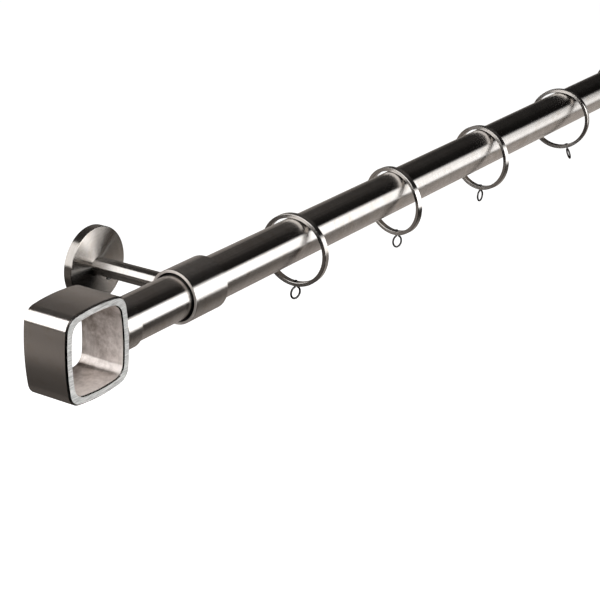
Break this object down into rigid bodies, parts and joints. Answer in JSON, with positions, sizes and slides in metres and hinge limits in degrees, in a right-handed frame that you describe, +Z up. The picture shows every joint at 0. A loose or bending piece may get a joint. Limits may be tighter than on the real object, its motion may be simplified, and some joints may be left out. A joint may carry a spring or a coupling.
{
  "type": "curtain rod with brackets",
  "caption": "Round metal curtain pole in tubular wall brackets, with open rounded-square loop finials and flat sliding rings that carry swivelling wire eyelets.",
  "frame": {"origin": "on the wall, midway between the two brackets, at the height of the pole: the centre of the four wall screws", "axes": "+X along the pole, +Y into the wall, +Z up"},
  "size_m": [1.3108, 0.1023, 0.0698],
  "materials": {
    "brushed_nickel": "fine brushed satin nickel",
    "satin_cast_metal": "satin nickel on a cast body, brushed rims",
    "ring_band": "polished satin nickel",
    "wire": "bright drawn wire",
    "plated_steel": "zinc plated"
  },
  "bodies": {
    "pole_and_brackets": {"pole": "brushed_nickel", "left_wall_plate": "plated_steel", "left_spigot": "plated_steel", "left_rose": "brushed_nickel", "left_arm": "brushed_nickel", "left_sleeve": "brushed_nickel", "right_wall_plate": "plated_steel", "right_spigot": "plated_steel", "right_rose": "brushed_nickel", "right_arm": "brushed_nickel", "right_sleeve": "brushed_nickel", "arm_grub_screws": "plated_steel", "sleeve_grub_screws": "plated_steel"},
    "left_finial": {"left_finial_loop": "satin_cast_metal", "left_finial_collar": "brushed_nickel", "left_finial_stud": "plated_steel", "left_finial_screw": "plated_steel"},
    "right_finial": {"right_finial_loop": "satin_cast_metal", "right_finial_collar": "brushed_nickel", "right_finial_stud": "plated_steel", "right_finial_screw": "plated_steel"},
    "ring_1": {"ring_1": "ring_band"},
    "ring_1_eyelet": {"ring_1_eyelet": "wire"},
    "ring_2": {"ring_2": "ring_band"},
    "ring_2_eyelet": {"ring_2_eyelet": "wire"},
    "ring_3": {"ring_3": "ring_band"},
    "ring_3_eyelet": {"ring_3_eyelet": "wire"},
    "ring_4": {"ring_4": "ring_band"},
    "ring_4_eyelet": {"ring_4_eyelet": "wire"},
    "ring_5": {"ring_5": "ring_band"},
    "ring_5_eyelet": {"ring_5_eyelet": "wire"},
    "ring_6": {"ring_6": "ring_band"},
    "ring_6_eyelet": {"ring_6_eyelet": "wire"},
    "ring_7": {"ring_7": "ring_band"},
    "ring_7_eyelet": {"ring_7_eyelet": "wire"},
    "ring_8": {"ring_8": "ring_band"},
    "ring_8_eyelet": {"ring_8_eyelet": "wire"}
  },
  "joints": [
    {"name": "ring_1_slide", "type": "slide", "parent": "pole_and_brackets", "child": "ring_1", "axis": [1, 0, 0], "range_m": [-0.0857, 0.106]},
    {"name": "ring_1_eyelet_swivel", "type": "hinge", "parent": "ring_1", "child": "ring_1_eyelet", "pos_m": [-0.41897, -0.0775, -0.0078], "axis": [-0.0244, -0.0006, 0.9997], "continuous": true},
    {"name": "ring_2_slide", "type": "slide", "parent": "pole_and_brackets", "child": "ring_2", "axis": [1, 0, 0], "range_m": [-0.106, 0.111]},
    {"name": "ring_2_eyelet_swivel", "type": "hinge", "parent": "ring_2", "child": "ring_2_eyelet", "pos_m": [-0.29698, -0.0775, -0.0078], "axis": [-0.0325, 0.1065, 0.9938], "continuous": true},
    {"name": "ring_3_slide", "type": "slide", "parent": "pole_and_brackets", "child": "ring_3", "axis": [1, 0, 0], "range_m": [-0.111, 0.118]},
    {"name": "ring_3_eyelet_swivel", "type": "hinge", "parent": "ring_3", "child": "ring_3_eyelet", "pos_m": [-0.17002, -0.0775, -0.0078], "axis": [0.0208, 0.0359, 0.9991], "continuous": true},
    {"name": "ring_4_slide", "type": "slide", "parent": "pole_and_brackets", "child": "ring_4", "axis": [1, 0, 0], "range_m": [-0.118, 0.103]},
    {"name": "ring_4_eyelet_swivel", "type": "hinge", "parent": "ring_4", "child": "ring_4_eyelet", "pos_m": [-0.03597, -0.0775, -0.0078], "axis": [-0.0207, 0.3257, 0.9452], "continuous": true},
    {"name": "ring_5_slide", "type": "slide", "parent": "pole_and_brackets", "child": "ring_5", "axis": [1, 0, 0], "range_m": [-0.103, 0.1009]},
    {"name": "ring_5_eyelet_swivel", "type": "hinge", "parent": "ring_5", "child": "ring_5_eyelet", "pos_m": [0.08305, -0.0775, -0.0078], "axis": [-0.02, -0.0683, 0.9975], "continuous": true},
    {"name": "ring_6_slide", "type": "slide", "parent": "pole_and_brackets", "child": "ring_6", "axis": [1, 0, 0], "range_m": [-0.1009, 0.0981]},
    {"name": "ring_6_eyelet_swivel", "type": "hinge", "parent": "ring_6", "child": "ring_6_eyelet", "pos_m": [0.19996, -0.0775, -0.0078], "axis": [0.0109, 0.1054, 0.9944], "continuous": true},
    {"name": "ring_7_slide", "type": "slide", "parent": "pole_and_brackets", "child": "ring_7", "axis": [1, 0, 0], "range_m": [-0.0981, 0.0911]},
    {"name": "ring_7_eyelet_swivel", "type": "hinge", "parent": "ring_7", "child": "ring_7_eyelet", "pos_m": [0.31401, -0.0775, -0.0078], "axis": [-0.0138, 0.1572, 0.9875], "continuous": true},
    {"name": "ring_8_slide", "type": "slide", "parent": "pole_and_brackets", "child": "ring_8", "axis": [1, 0, 0], "range_m": [-0.0911, 0.0836]},
    {"name": "ring_8_eyelet_swivel", "type": "hinge", "parent": "ring_8", "child": "ring_8_eyelet", "pos_m": [0.42108, -0.0775, -0.0078], "axis": [0.0159, -0.051, 0.9986], "continuous": true},
    {"name": "left_finial_pull", "type": "slide", "parent": "pole_and_brackets", "child": "left_finial", "axis": [-1, 0, 0], "range_m": [0, 0.012]},
    {"name": "right_finial_pull", "type": "slide", "parent": "pole_and_brackets", "child": "right_finial", "axis": [1, 0, 0], "range_m": [0, 0.012]}
  ]
}
